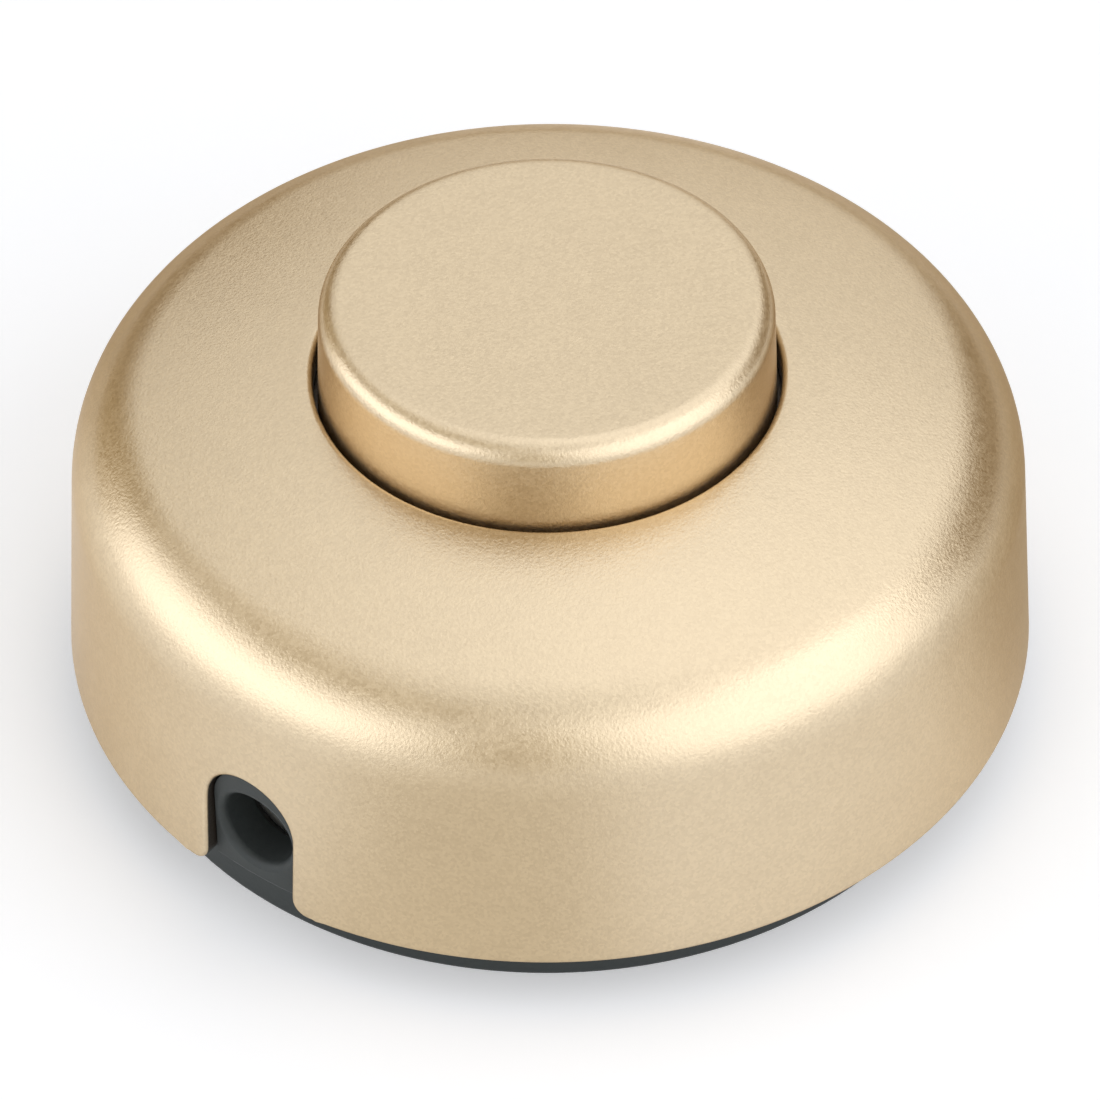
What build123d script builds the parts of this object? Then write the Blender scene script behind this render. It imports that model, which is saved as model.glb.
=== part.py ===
# Inline foot switch for a lamp cord: a round cover, a push button, a base and the works inside.
# Millimetres, +Z up. The origin is the middle of the underside and the cord runs along X.
from build123d import *
import os
from math import cos, isclose, radians, sin, sqrt, tan

os.makedirs("parts", exist_ok=True)

# Cover
cover_radius = 31.0  # at its lower edge
cover_height = 21.0  # from its lower edge to the rim of the button hole
cover_lift = 4.0  # from the floor to its lower edge
cover_draft = 3.5  # degrees that the side leans in
cover_wall = 2.0
cover_edge_radius = 0.3  # round the lower edge and the notches
crown_radius = 103.0
shoulder_radius = 6.3
hole_radius = 15.0
hole_edge_radius = 0.4

# Button
button_gap = 0.75  # round the button in its hole
button_rise = 5.9  # above the rim of the hole
button_travel = 4.0
button_wall = 1.8
button_top_wall = 2.0
button_edge_radius = 1.4
flange_reach = 1.3  # past the hole, under the cover
flange_thickness = 1.5
flange_edge_radius = 0.3
stop_gap = 0.15
peg_length = 6.0

# Cord entries
cord_z = 8.1
cord_bore_radius = 2.65
cord_lead = 0.8  # chamfer at the inner end of the bore
gland_recess = 0.8  # behind the outside of the cover
gland_wall = 3.65
gland_shoulder = 2.0  # that the wall behind the notch is wider than the notch
gland_lip_radius = 0.5
gland_foot_radius = 0.3
gland_gap = 0.15
notch_half_width = 3.4
notch_arch_z = 9.35
notch_flare_radius = 1.2

# Base
base_gap = 0.5  # inside the lower edge of the cover
base_floor = 2.5
base_edge_radius = 0.4
base_step_z = 4.6
rim_step = 0.4
rim_wall = 1.2
rim_top_z = 9.0
rim_lead = 0.4  # chamfer that leads the cover on

# Cover screws and their bosses
cover_boss_radius = 3.2
base_boss_radius = 4.2
boss_bite = 1.0  # of the base bosses into the rim
boss_joint_z = 9.5
well_depth = 5.0
well_gap = 0.2
cover_screw_length = 9.0
cover_screw_radius = 1.5
cover_head_radius = 2.7

# Screws in general
head_share = 0.7  # height of a screw head for each unit of its radius
slot_width = 0.7
screw_hole_gap = 0.05
screw_end_gap = 0.4
tip_chamfer = 0.4

# Ratchet and rotor
tooth_count = 8
tooth_steps = 3
drive_angle = 40.0  # turn of the rotor over one press
tooth_root = 0.6
finger_angle = 18.0
finger_steps = 2
finger_end_gap = 3.0  # degrees from a finger to the back of a tooth at full press
ramp_gap = 0.15
finger_root_gap = 0.3
ring_margin = 0.15
axle_radius = 1.5
axle_length = 10.3
axle_bed = 1.3  # floor left under the axle
axle_seat_gap = 0.02
axle_run_gap = 0.06
post_radius = 3.0
post_height = 1.5
thrust_gap = 0.1
spigot_side = 5.0
spigot_height = 2.4
spigot_gap = 0.05
disc_apothem = 7.5
disc_thickness = 2.5
hub_radius = 2.8
hub_height = 1.5
rotor_play = 0.4

# Contact parts
cross_thickness = 0.5
cross_arm_width = 4.0
cross_hub_radius = 4.8
cross_tip_radius = 1.0
contact_radius = 7.2
contact_gap = 0.1
rivet_radius = 1.2
rivet_height = 0.5
rivet_shank_radius = 0.6
rivet_tail_radius = 0.9
rivet_tail_height = 0.3
rivet_gap = 0.05
strip_thickness = 0.5
strip_width = 3.2
strip_bend_radius = 1.0
strip_end = 1.8  # past the rivet

# Rotor housing, detent spring, plunger and return spring
housing_wall = 1.5
housing_top_wall = 1.5
housing_edge_radius = 0.8
housing_side_gap = 0.8
window_gap = 0.4
ear_radius = 2.6
ear_thickness = 1.5
ear_lift = 2.5
ear_gap = 0.2  # from the housing wall to the ear's boss
ear_angle = 30.0
housing_screw_length = 5.0
housing_screw_radius = 1.0
housing_head_radius = 2.0
detent_thickness = 0.3
detent_height = 1.8
detent_gap = 0.1
detent_slot_gap = 0.1
detent_end_wall = 0.8
detent_corner_radius = 0.4
plunger_radius = 6.0
plunger_bore = 4.0
plunger_flat = 5.3  # from the axis to the flats that stop it turning
plunger_flange = 1.5
flange_margin = 0.6
peg_gap = 0.05
guide_gap = 0.25
neck_wall = 1.1
neck_gap = 1.2
spring_wire = 0.9
spring_turns = 4.0
spring_gap = 0.45
spring_seat_gap = 0.05

# Terminals
terminal_length = 6.5
terminal_depth = 5.0
terminal_height = 6.5
terminal_edge_radius = 0.5
terminal_clear = 0.5  # from the housing
connector_length = 17.0
connector_screw_x = 5.5
wire_hole_radius = 1.5
terminal_screw_radius = 1.4
terminal_head_radius = 2.1
pocket_gap = 0.15
pocket_wall = 1.0
pocket_height = 1.8

# Cord clamps and the seats under the cord
clamp_width = 5.0
clamp_length = 16.4
clamp_thickness = 3.0
clamp_clear = 0.6  # from the gland
clamp_screw_y = 5.6
clamp_boss_radius = 2.4
clamp_seat_z = 9.2
clamp_ridge_width = 1.6
clamp_ridge_depth = 0.8
clamp_ridge_gap = 0.4  # from the ridge to the bosses
clamp_edge_radius = 0.6
clamp_screw_length = 8.0
clamp_screw_radius = 1.25
clamp_head_radius = 2.3
seat_z = 6.4
seat_bed = 0.8  # into the floor of the base
seat_spare = 0.3  # that the seat's groove is wider than the cord bore

# Heights worked out from the sizes above
slope = tan(radians(cover_draft))
cover_top_z = cover_lift + cover_height
crown_centre_z = cover_top_z - sqrt(crown_radius**2 - hole_radius**2)
button_top_z = cover_top_z + button_rise
button_ceiling_z = button_top_z - button_top_wall
tooth_pitch = 360 / tooth_count
tooth_rise = button_travel * tooth_pitch / drive_angle
rotor_z = base_floor + post_height + thrust_gap
disc_z = rotor_z + spigot_height
cross_z = disc_z - cross_thickness
ring_z = disc_z + disc_thickness
teeth_top_z = ring_z + tooth_root + tooth_rise
housing_ceiling_z = teeth_top_z + rotor_play
housing_top_z = housing_ceiling_z + housing_top_wall
tube_z = teeth_top_z + button_travel + finger_root_gap
spring_top_z = button_ceiling_z - plunger_flange
neck_top_z = spring_top_z - button_travel - neck_gap
strip_z = cross_z - contact_gap - rivet_height - strip_thickness
terminal_z = base_floor + strip_thickness
terminal_top_z = terminal_z + terminal_height
ear_z = base_floor + ear_lift
head_seat_z = well_depth

# Radii and places worked out from the sizes above
button_radius = hole_radius - button_gap
flange_radius = hole_radius + flange_reach
base_radius = cover_radius - cover_wall - base_gap
rim_radius = base_radius - rim_step
rim_inner_radius = rim_radius - rim_wall
gland_radius = cover_radius - slope * (cord_z - cover_lift) - gland_recess
gland_inner_x = gland_radius - gland_wall
boss_y = rim_inner_radius - base_boss_radius + boss_bite
clamp_x = gland_inner_x - clamp_clear - clamp_width / 2
clamp_ridge_length = 2 * (clamp_screw_y - clamp_boss_radius - clamp_ridge_gap)
seat_length = clamp_width + 2 * (clamp_clear - pocket_gap)
ring_radius = plunger_radius + ring_margin
ring_bore = plunger_bore - ring_margin
neck_bore = plunger_radius + guide_gap
neck_radius = neck_bore + neck_wall
spring_radius = neck_radius + spring_gap + spring_wire / 2
plunger_flange_radius = spring_radius + spring_wire / 2 + flange_margin
cross_reach = contact_radius + rivet_radius
housing_bore = cross_reach + housing_side_gap
housing_radius = housing_bore + housing_wall
ear_centre = housing_radius + ear_gap + ear_radius
ear_x = ear_centre * cos(radians(ear_angle))
ear_y = ear_centre * sin(radians(ear_angle))
terminal_x = contact_radius - strip_width / 2 + terminal_length / 2
terminal_y = housing_radius + terminal_clear + terminal_depth / 2
detent_y = disc_apothem + detent_gap
detent_half_length = sqrt(housing_radius**2 - (detent_y + detent_thickness) ** 2) - detent_end_wall
finger_start = 90 - finger_angle / 2
tooth_start = finger_start - finger_end_gap - drive_angle

FROM_BELOW = (Align.CENTER, Align.CENTER, Align.MIN)
FROM_ABOVE = (Align.CENTER, Align.CENTER, Align.MAX)
ear_places = [(-ear_x, ear_y), (ear_x, ear_y)]
terminal_places = [(-terminal_x, -terminal_y), (terminal_x, -terminal_y)]
clamp_places = [(x, y) for x in (-clamp_x, clamp_x) for y in (-clamp_screw_y, clamp_screw_y)]
boss_places = [(0, -boss_y), (0, boss_y)]


def crown_z(radius, inset):
    """Height of the crowned top at a radius, or of a surface set in below it."""
    return crown_centre_z + sqrt((crown_radius - inset) ** 2 - radius**2)


def radial_plane(angle):
    """Upright plane through the middle axis that faces along the turn, x pointing outward."""
    turn = radians(angle)
    return Plane((0, 0, 0), x_dir=(cos(turn), sin(turn), 0), z_dir=(sin(turn), -cos(turn), 0))


def dome(inset, bore, edge):
    """Turned body of the cover, set in by a wall, with a hole that has a rounded edge."""
    foot = cover_radius - inset / cos(radians(cover_draft))
    head = foot - slope * cover_height
    with BuildPart() as body:
        with BuildSketch(Plane.XZ) as profile:
            with BuildLine():
                Polyline(
                    (bore, cover_lift),
                    (foot, cover_lift),
                    (head, cover_top_z),
                    (head, cover_top_z + cover_wall),
                    (bore, cover_top_z + cover_wall),
                    close=True,
                )
            make_face()
            with Locations((0, crown_centre_z)):
                Circle(crown_radius - inset, mode=Mode.INTERSECT)
            corners = profile.vertices().filter_by_position(Axis.X, head, foot)
            fillet(corners.sort_by(Axis.Y)[-1], shoulder_radius - inset)
            if edge:
                rim = profile.vertices().group_by(Axis.X)[0]
                fillet(rim.sort_by(Axis.Y)[-1], edge)
        revolve(axis=Axis.Z)
    return body.part


def screw(head_radius, shank_radius, length, tip_up):
    """Slotted pan-head screw whose head seats on z = 0."""
    head_height = head_radius * head_share
    with BuildPart() as body:
        Cylinder(head_radius, head_height, align=FROM_BELOW)
        fillet(body.edges().group_by(Axis.Z)[-1], head_height / 2)
        with Locations((0, 0, head_height)):
            Box(2 * head_radius, slot_width, head_height, mode=Mode.SUBTRACT)
        Cylinder(shank_radius, length, align=FROM_ABOVE)
        chamfer(body.edges().group_by(Axis.Z)[0], tip_chamfer)
    return body.part.rotate(Axis.X, 180) if tip_up else body.part


# Cover: a moulded dome with two screw bosses and a notch at each end of the cord
shell = dome(0, hole_radius, hole_edge_radius)
with BuildPart() as cover_bosses:
    with BuildSketch(Plane.XY.offset(boss_joint_z)):
        with Locations(boss_places):
            Circle(cover_boss_radius)
    extrude(amount=cover_height)
    add(dome(cover_wall / 2, 0, 0), mode=Mode.INTERSECT)
with BuildPart() as cover:
    add(shell)
    add(dome(cover_wall, 0, 0), mode=Mode.SUBTRACT)
    with BuildSketch(Plane.YZ):
        with Locations((0, notch_arch_z)):
            Circle(notch_half_width)
            Rectangle(2 * notch_half_width, notch_arch_z, align=(Align.CENTER, Align.MAX))
    extrude(amount=cover_radius, both=True, mode=Mode.SUBTRACT)
    fillet(cover.edges().filter_by(Axis.X), notch_flare_radius)
    side = cover.faces().filter_by(GeomType.CONE).sort_by(SortBy.AREA)[-1]
    outline = side.edges().sort_by(Axis.Z)[:-1].filter_by(GeomType.LINE, reverse=True)
    fillet(outline, cover_edge_radius)
    add(cover_bosses.part)
    with BuildSketch(Plane.XY.offset(boss_joint_z)):
        with Locations(boss_places):
            Circle(cover_screw_radius + screw_hole_gap)
    extrude(amount=cover_screw_length + head_seat_z - boss_joint_z + screw_end_gap, mode=Mode.SUBTRACT)

# Button: a cup with a flange under the cover and a peg for the plunger
flange_top_z = crown_z(flange_radius, cover_wall) - stop_gap
with BuildPart() as button:
    with BuildSketch(Plane.XZ) as cup:
        with BuildLine():
            Polyline(
                (0, button_top_z),
                (button_radius, button_top_z),
                (button_radius, flange_top_z),
                (flange_radius, flange_top_z),
                (flange_radius, flange_top_z - flange_thickness),
                (button_radius - button_wall, flange_top_z - flange_thickness),
                (button_radius - button_wall, button_ceiling_z),
                (plunger_bore - peg_gap, button_ceiling_z),
                (plunger_bore - peg_gap, button_ceiling_z - peg_length),
                (0, button_ceiling_z - peg_length),
                close=True,
            )
        make_face()
        fillet(cup.vertices().group_by(Axis.Y)[-1].sort_by(Axis.X)[-1], button_edge_radius)
        fillet(cup.vertices().group_by(Axis.X)[-1], flange_edge_radius)
    revolve(axis=Axis.Z)

# Plunger: a tube on the button's peg, with a spring flange, two flats and two driving fingers
with BuildPart() as finger:
    for step in range(finger_steps + 1):
        share = step / finger_steps
        climb = tooth_rise * (finger_end_gap + finger_angle * share) / tooth_pitch
        tip_z = ring_z + tooth_root + climb + button_travel + ramp_gap
        with BuildSketch(radial_plane(finger_start + finger_angle * share)):
            with Locations(((plunger_bore + plunger_radius) / 2, tip_z)):
                Rectangle(
                    plunger_radius - plunger_bore - 2 * ring_margin,
                    tube_z + finger_root_gap - tip_z,
                    align=(Align.CENTER, Align.MIN),
                )
    loft(ruled=True)
with BuildPart() as plunger:
    with BuildSketch(Plane.XY.offset(tube_z)):
        Circle(plunger_radius)
        Rectangle(2 * plunger_flat, 2 * plunger_radius, mode=Mode.INTERSECT)
    extrude(amount=button_ceiling_z - tube_z)
    with BuildSketch(Plane.XY.offset(spring_top_z)):
        Circle(plunger_flange_radius)
    extrude(amount=plunger_flange)
    Cylinder(plunger_bore, button_ceiling_z, align=FROM_BELOW, mode=Mode.SUBTRACT)
    with PolarLocations(0, 2):
        add(finger.part)

# Return spring: round wire between the housing's shoulder and the plunger's flange
spring_foot_z = housing_top_z + spring_wire / 2 + spring_seat_gap
spring_height = spring_top_z - spring_wire / 2 - spring_seat_gap - spring_foot_z
with BuildPart() as return_spring:
    with BuildLine() as coil:
        Helix(spring_height / spring_turns, spring_height, spring_radius, (0, 0, spring_foot_z))
    with BuildSketch(Plane(coil.line @ 0, z_dir=coil.line % 0)):
        Circle(spring_wire / 2)
    sweep(is_frenet=True)

# Base: a tray with a gland, a seat bed and clamp bosses at each end, and seats for the works
with BuildPart() as gland:
    with BuildSketch(Plane.YZ.offset(gland_inner_x)):
        with Locations((0, notch_arch_z)):
            Circle(notch_half_width - gland_gap)
            Rectangle(
                2 * (notch_half_width - gland_gap),
                notch_arch_z - cover_lift,
                align=(Align.CENTER, Align.MAX),
            )
    extrude(amount=gland_wall)
    with BuildSketch(Plane((0, 0, 0), x_dir=(-1, 0, 0))):
        Circle(gland_radius)
    extrude(amount=cover_height, mode=Mode.INTERSECT)
    fillet(gland.edges().group_by(Axis.Z)[0].sort_by(Axis.X)[-1], gland_foot_radius)
with BuildPart() as gland_back:
    with BuildSketch(Plane.YZ.offset(gland_inner_x)):
        with Locations((0, notch_arch_z)):
            Circle(notch_half_width + gland_shoulder)
            Rectangle(
                2 * (notch_half_width + gland_shoulder),
                notch_arch_z - base_floor,
                align=(Align.CENTER, Align.MAX),
            )
    extrude(amount=gland_wall)
    with BuildSketch(Plane((0, 0, 0), x_dir=(-1, 0, 0))):
        Circle(rim_radius)
    extrude(amount=cover_height, mode=Mode.INTERSECT)
with BuildPart() as base:
    with BuildSketch():
        Circle(base_radius)
    extrude(amount=base_step_z)
    fillet(base.edges().group_by(Axis.Z)[0], base_edge_radius)
    with BuildSketch(Plane.XY.offset(base_step_z)):
        Circle(rim_radius)
    extrude(amount=rim_top_z - base_step_z)
    chamfer(base.edges().group_by(Axis.Z)[-1], rim_lead)
    with BuildSketch(Plane.XY.offset(base_floor)):
        Circle(rim_inner_radius)
    extrude(amount=rim_top_z, mode=Mode.SUBTRACT)
    with PolarLocations(0, 2):
        add(gland_back.part)
        add(gland.part)
    with BuildSketch(Plane.YZ):
        with Locations((0, cord_z)):
            Circle(cord_bore_radius)
    extrude(amount=cover_radius, both=True, mode=Mode.SUBTRACT)
    rims = base.edges().filter_by(GeomType.CIRCLE)
    chamfer(rims.filter_by(lambda rim: isclose(rim.radius, cord_bore_radius)), cord_lead)
    round_walls = base.faces().filter_by(GeomType.CYLINDER)
    bores = round_walls.filter_by(lambda wall: isclose(wall.radius, cord_bore_radius))
    mouths = [bore.edges().sort_by_distance((0, 0, cord_z))[-1] for bore in bores]
    fillet(mouths, gland_lip_radius)
    with BuildSketch(Plane.XY.offset(base_floor)):
        with Locations((-clamp_x, 0), (clamp_x, 0)):
            Rectangle(seat_length + 2 * pocket_gap, clamp_ridge_length + 2 * pocket_gap)
    extrude(amount=-seat_bed, mode=Mode.SUBTRACT)
    with BuildSketch(Plane.XY.offset(base_floor)):
        with Locations(clamp_places):
            Circle(clamp_boss_radius)
    extrude(amount=clamp_seat_z - base_floor)
    with BuildSketch(Plane.XY.offset(base_floor)):
        with Locations(boss_places):
            Circle(base_boss_radius)
    extrude(amount=boss_joint_z - base_floor)
    with BuildSketch(Plane.XY.offset(base_floor)):
        Circle(post_radius)
    extrude(amount=post_height)
    with BuildSketch(Plane.XY.offset(base_floor)):
        with Locations(ear_places):
            Circle(ear_radius)
    extrude(amount=ear_lift)
    with BuildSketch(Plane.XY.offset(base_floor)):
        pocket_rim = 2 * (pocket_gap + pocket_wall)
        with Locations(terminal_places):
            Rectangle(terminal_length + pocket_rim, terminal_depth + pocket_rim)
        with Locations((0, terminal_y)):
            Rectangle(connector_length + pocket_rim, terminal_depth + pocket_rim)
        with Locations(terminal_places):
            Rectangle(
                terminal_length + 2 * pocket_gap, terminal_depth + 2 * pocket_gap, mode=Mode.SUBTRACT
            )
        with Locations((0, terminal_y)):
            Rectangle(
                connector_length + 2 * pocket_gap, terminal_depth + 2 * pocket_gap, mode=Mode.SUBTRACT
            )
        with Locations((-contact_radius, 0), (contact_radius, 0)):
            Rectangle(
                strip_width + 2 * pocket_gap,
                terminal_y,
                align=(Align.CENTER, Align.MAX),
                mode=Mode.SUBTRACT,
            )
        Circle(terminal_y, mode=Mode.SUBTRACT)
    extrude(amount=pocket_height)
    with BuildSketch(Plane.XY.offset(axle_bed)):
        Circle(axle_radius + axle_seat_gap)
    extrude(amount=base_floor + post_height, mode=Mode.SUBTRACT)
    with BuildSketch(Plane.XY.offset(clamp_seat_z)):
        with Locations(clamp_places):
            Circle(clamp_screw_radius + screw_hole_gap)
    extrude(amount=clamp_thickness - clamp_screw_length - screw_end_gap, mode=Mode.SUBTRACT)
    with BuildSketch(Plane.XY.offset(ear_z)):
        with Locations(ear_places):
            Circle(housing_screw_radius + screw_hole_gap)
    extrude(amount=ear_thickness - housing_screw_length - screw_end_gap, mode=Mode.SUBTRACT)
    with BuildSketch():
        with Locations(boss_places):
            Circle(cover_head_radius + well_gap)
    extrude(amount=well_depth, mode=Mode.SUBTRACT)
    with BuildSketch():
        with Locations(boss_places):
            Circle(cover_screw_radius + well_gap)
    extrude(amount=boss_joint_z, mode=Mode.SUBTRACT)

# Rotor: a square spigot, an eight-sided detent disc and a crown of helical ratchet teeth
with BuildPart() as tooth:
    for step in range(tooth_steps + 1):
        share = step / tooth_steps
        with BuildSketch(radial_plane(tooth_pitch * share)):
            with Locations(((ring_bore + ring_radius) / 2, ring_z)):
                Rectangle(
                    ring_radius - ring_bore,
                    tooth_root + tooth_rise * share,
                    align=(Align.CENTER, Align.MIN),
                )
    loft(ruled=True)
with BuildPart() as ratchet_rotor:
    with BuildSketch(Plane.XY.offset(rotor_z)):
        Rectangle(spigot_side, spigot_side)
    extrude(amount=spigot_height)
    with BuildSketch(Plane.XY.offset(disc_z)):
        RegularPolygon(disc_apothem, tooth_count, major_radius=False, rotation=tooth_pitch / 2)
    extrude(amount=disc_thickness)
    with BuildSketch(Plane.XY.offset(ring_z)):
        Circle(hub_radius)
    extrude(amount=hub_height)
    with PolarLocations(0, tooth_count, tooth_start):
        add(tooth.part)
    Cylinder(axle_radius + axle_run_gap, teeth_top_z, align=FROM_BELOW, mode=Mode.SUBTRACT)

# Axle: a steel pin in the base's post
with BuildPart() as rotor_axle:
    with BuildSketch(Plane.XY.offset(axle_bed)):
        Circle(axle_radius)
    extrude(amount=axle_length)
    chamfer(rotor_axle.edges().group_by(Axis.Z)[-1], tip_chamfer)

# Contact cross: a stamped plate on the rotor's spigot
with BuildPart() as contact_cross:
    with BuildSketch(Plane.XY.offset(cross_z)) as cross:
        Circle(cross_hub_radius)
        with PolarLocations(cross_reach / 2, tooth_count // 2, tooth_pitch):
            Rectangle(cross_reach, cross_arm_width)
        arm_tips = cross.vertices().filter_by(lambda vertex: Vector(*vertex).length > cross_reach)
        fillet(arm_tips, cross_tip_radius)
        Rectangle(spigot_side + 2 * spigot_gap, spigot_side + 2 * spigot_gap, mode=Mode.SUBTRACT)
    extrude(amount=cross_thickness)

# Rotor housing: a cup with windows for the contact strips, two ears and a neck for the plunger
with BuildPart() as rotor_housing:
    with BuildSketch(Plane.XY.offset(base_floor)):
        Circle(housing_radius)
    extrude(amount=housing_top_z - base_floor)
    fillet(rotor_housing.edges().group_by(Axis.Z)[-1], housing_edge_radius)
    with BuildSketch(Plane.XY.offset(housing_top_z)):
        Circle(neck_radius)
    extrude(amount=neck_top_z - housing_top_z)
    ear_run = ear_centre - housing_bore
    with BuildSketch(Plane.XY.offset(ear_z)):
        for angle in (ear_angle, 180 - ear_angle):
            with PolarLocations(ear_centre - ear_run / 2, 1, angle):
                SlotCenterToCenter(ear_run, 2 * ear_radius)
    extrude(amount=ear_thickness)
    with BuildSketch(Plane.XY.offset(base_floor)):
        Circle(housing_bore)
    extrude(amount=housing_ceiling_z - base_floor, mode=Mode.SUBTRACT)
    with BuildSketch(Plane.XY.offset(housing_ceiling_z)):
        Circle(neck_bore)
        Rectangle(2 * (plunger_flat + guide_gap), 2 * neck_bore, mode=Mode.INTERSECT)
    extrude(amount=neck_top_z - housing_ceiling_z, mode=Mode.SUBTRACT)
    with BuildSketch(Plane.XY.offset(base_floor)):
        with Locations((-contact_radius, 0), (contact_radius, 0)):
            Rectangle(
                strip_width + 2 * window_gap, housing_radius, align=(Align.CENTER, Align.MAX)
            )
    extrude(amount=strip_z + strip_thickness + window_gap - base_floor, mode=Mode.SUBTRACT)
    with Locations((0, detent_y + detent_thickness / 2, disc_z + disc_thickness / 2)):
        Box(
            2 * (detent_half_length + detent_slot_gap),
            detent_thickness + 2 * detent_slot_gap,
            detent_height + 2 * detent_slot_gap,
            mode=Mode.SUBTRACT,
        )
    with BuildSketch(Plane.XY.offset(ear_z)):
        with Locations(ear_places):
            Circle(housing_screw_radius + screw_hole_gap)
    extrude(amount=ear_thickness, mode=Mode.SUBTRACT)

# Detent spring: a leaf across the housing that bears on a flat of the rotor's disc
with BuildPart() as detent_spring:
    with Locations((0, detent_y + detent_thickness / 2, disc_z + disc_thickness / 2)):
        Box(2 * detent_half_length, detent_thickness, detent_height)
    fillet(detent_spring.edges().filter_by(Axis.Y), detent_corner_radius)


def contact_strip(side):
    """Bent strip from under a terminal, through the housing's window, to below the cross."""
    low = base_floor + strip_thickness / 2
    high = strip_z + strip_thickness / 2
    foot_y = -terminal_y - terminal_depth / 2
    rise_y = -terminal_y + terminal_depth / 2 + strip_bend_radius
    with BuildPart() as strip:
        with BuildSketch(Plane.YZ.offset(side * contact_radius - strip_width / 2)):
            with BuildLine() as bend:
                FilletPolyline(
                    (foot_y, low),
                    (rise_y, low),
                    (rivet_tail_radius - contact_radius, high),
                    (strip_end, high),
                    radius=strip_bend_radius,
                )
            trace(bend.line, strip_thickness)
        extrude(amount=strip_width)
        with BuildSketch(Plane.XY.offset(base_floor)):
            with Locations((side * terminal_x, -terminal_y)):
                Rectangle(terminal_length, terminal_depth)
        extrude(amount=strip_thickness)
        with BuildSketch(Plane.XY.offset(strip_z)):
            with Locations((side * contact_radius, 0)):
                Circle(rivet_shank_radius + rivet_gap)
        extrude(amount=strip_thickness, mode=Mode.SUBTRACT)
    return strip.part


def terminal_block(x, y, foot_z, length, screw_offsets):
    """Brass block with a wire hole along its length and clamping screws from above."""
    with BuildPart() as block:
        with BuildSketch(Plane.XY.offset(foot_z)):
            with Locations((x, y)):
                RectangleRounded(length, terminal_depth, terminal_edge_radius)
        extrude(amount=terminal_height)
        with Locations((x, y, foot_z + terminal_height / 2)):
            Cylinder(wire_hole_radius, length, rotation=(0, 90, 0), mode=Mode.SUBTRACT)
        with Locations([(x + offset, y, foot_z + terminal_height) for offset in screw_offsets]):
            Cylinder(
                terminal_screw_radius + screw_hole_gap,
                terminal_height / 2,
                align=FROM_ABOVE,
                mode=Mode.SUBTRACT,
            )
    return block.part


def cord_clamp(side):
    """Bar across the cord with a ridge on its underside and two screw holes."""
    with BuildPart() as bar:
        with BuildSketch(Plane.XY.offset(clamp_seat_z)):
            with Locations((side * clamp_x, 0)):
                SlotOverall(clamp_length, clamp_width, rotation=90)
        extrude(amount=clamp_thickness)
        fillet(bar.edges().group_by(Axis.Z)[-1], clamp_edge_radius)
        with BuildSketch(Plane.XY.offset(clamp_seat_z)):
            with Locations((side * clamp_x, 0)):
                Rectangle(clamp_ridge_width, clamp_ridge_length)
        extrude(amount=-clamp_ridge_depth)
        with BuildSketch(Plane.XY.offset(clamp_seat_z)):
            with Locations([(side * clamp_x, y) for y in (-clamp_screw_y, clamp_screw_y)]):
                Circle(clamp_screw_radius + screw_hole_gap)
        extrude(amount=clamp_thickness, mode=Mode.SUBTRACT)
    return bar.part


def cord_seat(side):
    """Grooved block, let into the base's floor, that the clamp presses the cord onto."""
    with BuildPart() as block:
        with BuildSketch(Plane.XY.offset(base_floor - seat_bed)):
            with Locations((side * clamp_x, 0)):
                Rectangle(seat_length, clamp_ridge_length)
        extrude(amount=seat_z - base_floor + seat_bed)
        with BuildSketch(Plane.YZ):
            with Locations((0, cord_z)):
                Circle(cord_bore_radius + seat_spare)
        extrude(amount=cover_radius, both=True, mode=Mode.SUBTRACT)
    return block.part


contact_strip_in = contact_strip(-1)
contact_strip_out = contact_strip(1)
line_terminal_in = terminal_block(-terminal_x, -terminal_y, terminal_z, terminal_length, [0])
line_terminal_out = terminal_block(terminal_x, -terminal_y, terminal_z, terminal_length, [0])
connector_offsets = [-connector_screw_x, connector_screw_x]
neutral_connector = terminal_block(0, terminal_y, base_floor, connector_length, connector_offsets)
cord_clamp_in = cord_clamp(-1)
cord_clamp_out = cord_clamp(1)
cord_seat_in = cord_seat(-1)
cord_seat_out = cord_seat(1)

# Contact rivets: a head above each strip and a tail spread below it
with BuildPart() as contact_rivets:
    with Locations((-contact_radius, 0, strip_z), (contact_radius, 0, strip_z)):
        Cylinder(rivet_tail_radius, rivet_tail_height, align=FROM_ABOVE)
        Cylinder(rivet_shank_radius, strip_thickness, align=FROM_BELOW)
    with Locations([(side * contact_radius, 0, strip_z + strip_thickness) for side in (-1, 1)]):
        Cylinder(rivet_radius, rivet_height, align=FROM_BELOW)
    fillet(contact_rivets.edges().group_by(Axis.Z)[-1], rivet_height / 2)

# Screws, in one group for each kind
connector_top_z = base_floor + terminal_height
clamp_screw = screw(clamp_head_radius, clamp_screw_radius, clamp_screw_length, False)
housing_screw = screw(housing_head_radius, housing_screw_radius, housing_screw_length, False)
terminal_screw = screw(terminal_head_radius, terminal_screw_radius, terminal_height / 2, False)
cover_screw = screw(cover_head_radius, cover_screw_radius, cover_screw_length, True)
with BuildPart() as clamp_screws:
    with Locations([(x, y, clamp_seat_z + clamp_thickness) for x, y in clamp_places]):
        add(clamp_screw)
with BuildPart() as housing_screws:
    with Locations([(x, y, ear_z + ear_thickness) for x, y in ear_places]):
        add(housing_screw)
with BuildPart() as terminal_screws:
    with Locations([(x, y, terminal_top_z) for x, y in terminal_places]):
        add(terminal_screw)
    with Locations([(x, terminal_y, connector_top_z) for x in connector_offsets]):
        add(terminal_screw)
with BuildPart() as cover_screws:
    with Locations([(x, y, head_seat_z) for x, y in boss_places]):
        add(cover_screw)

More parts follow.
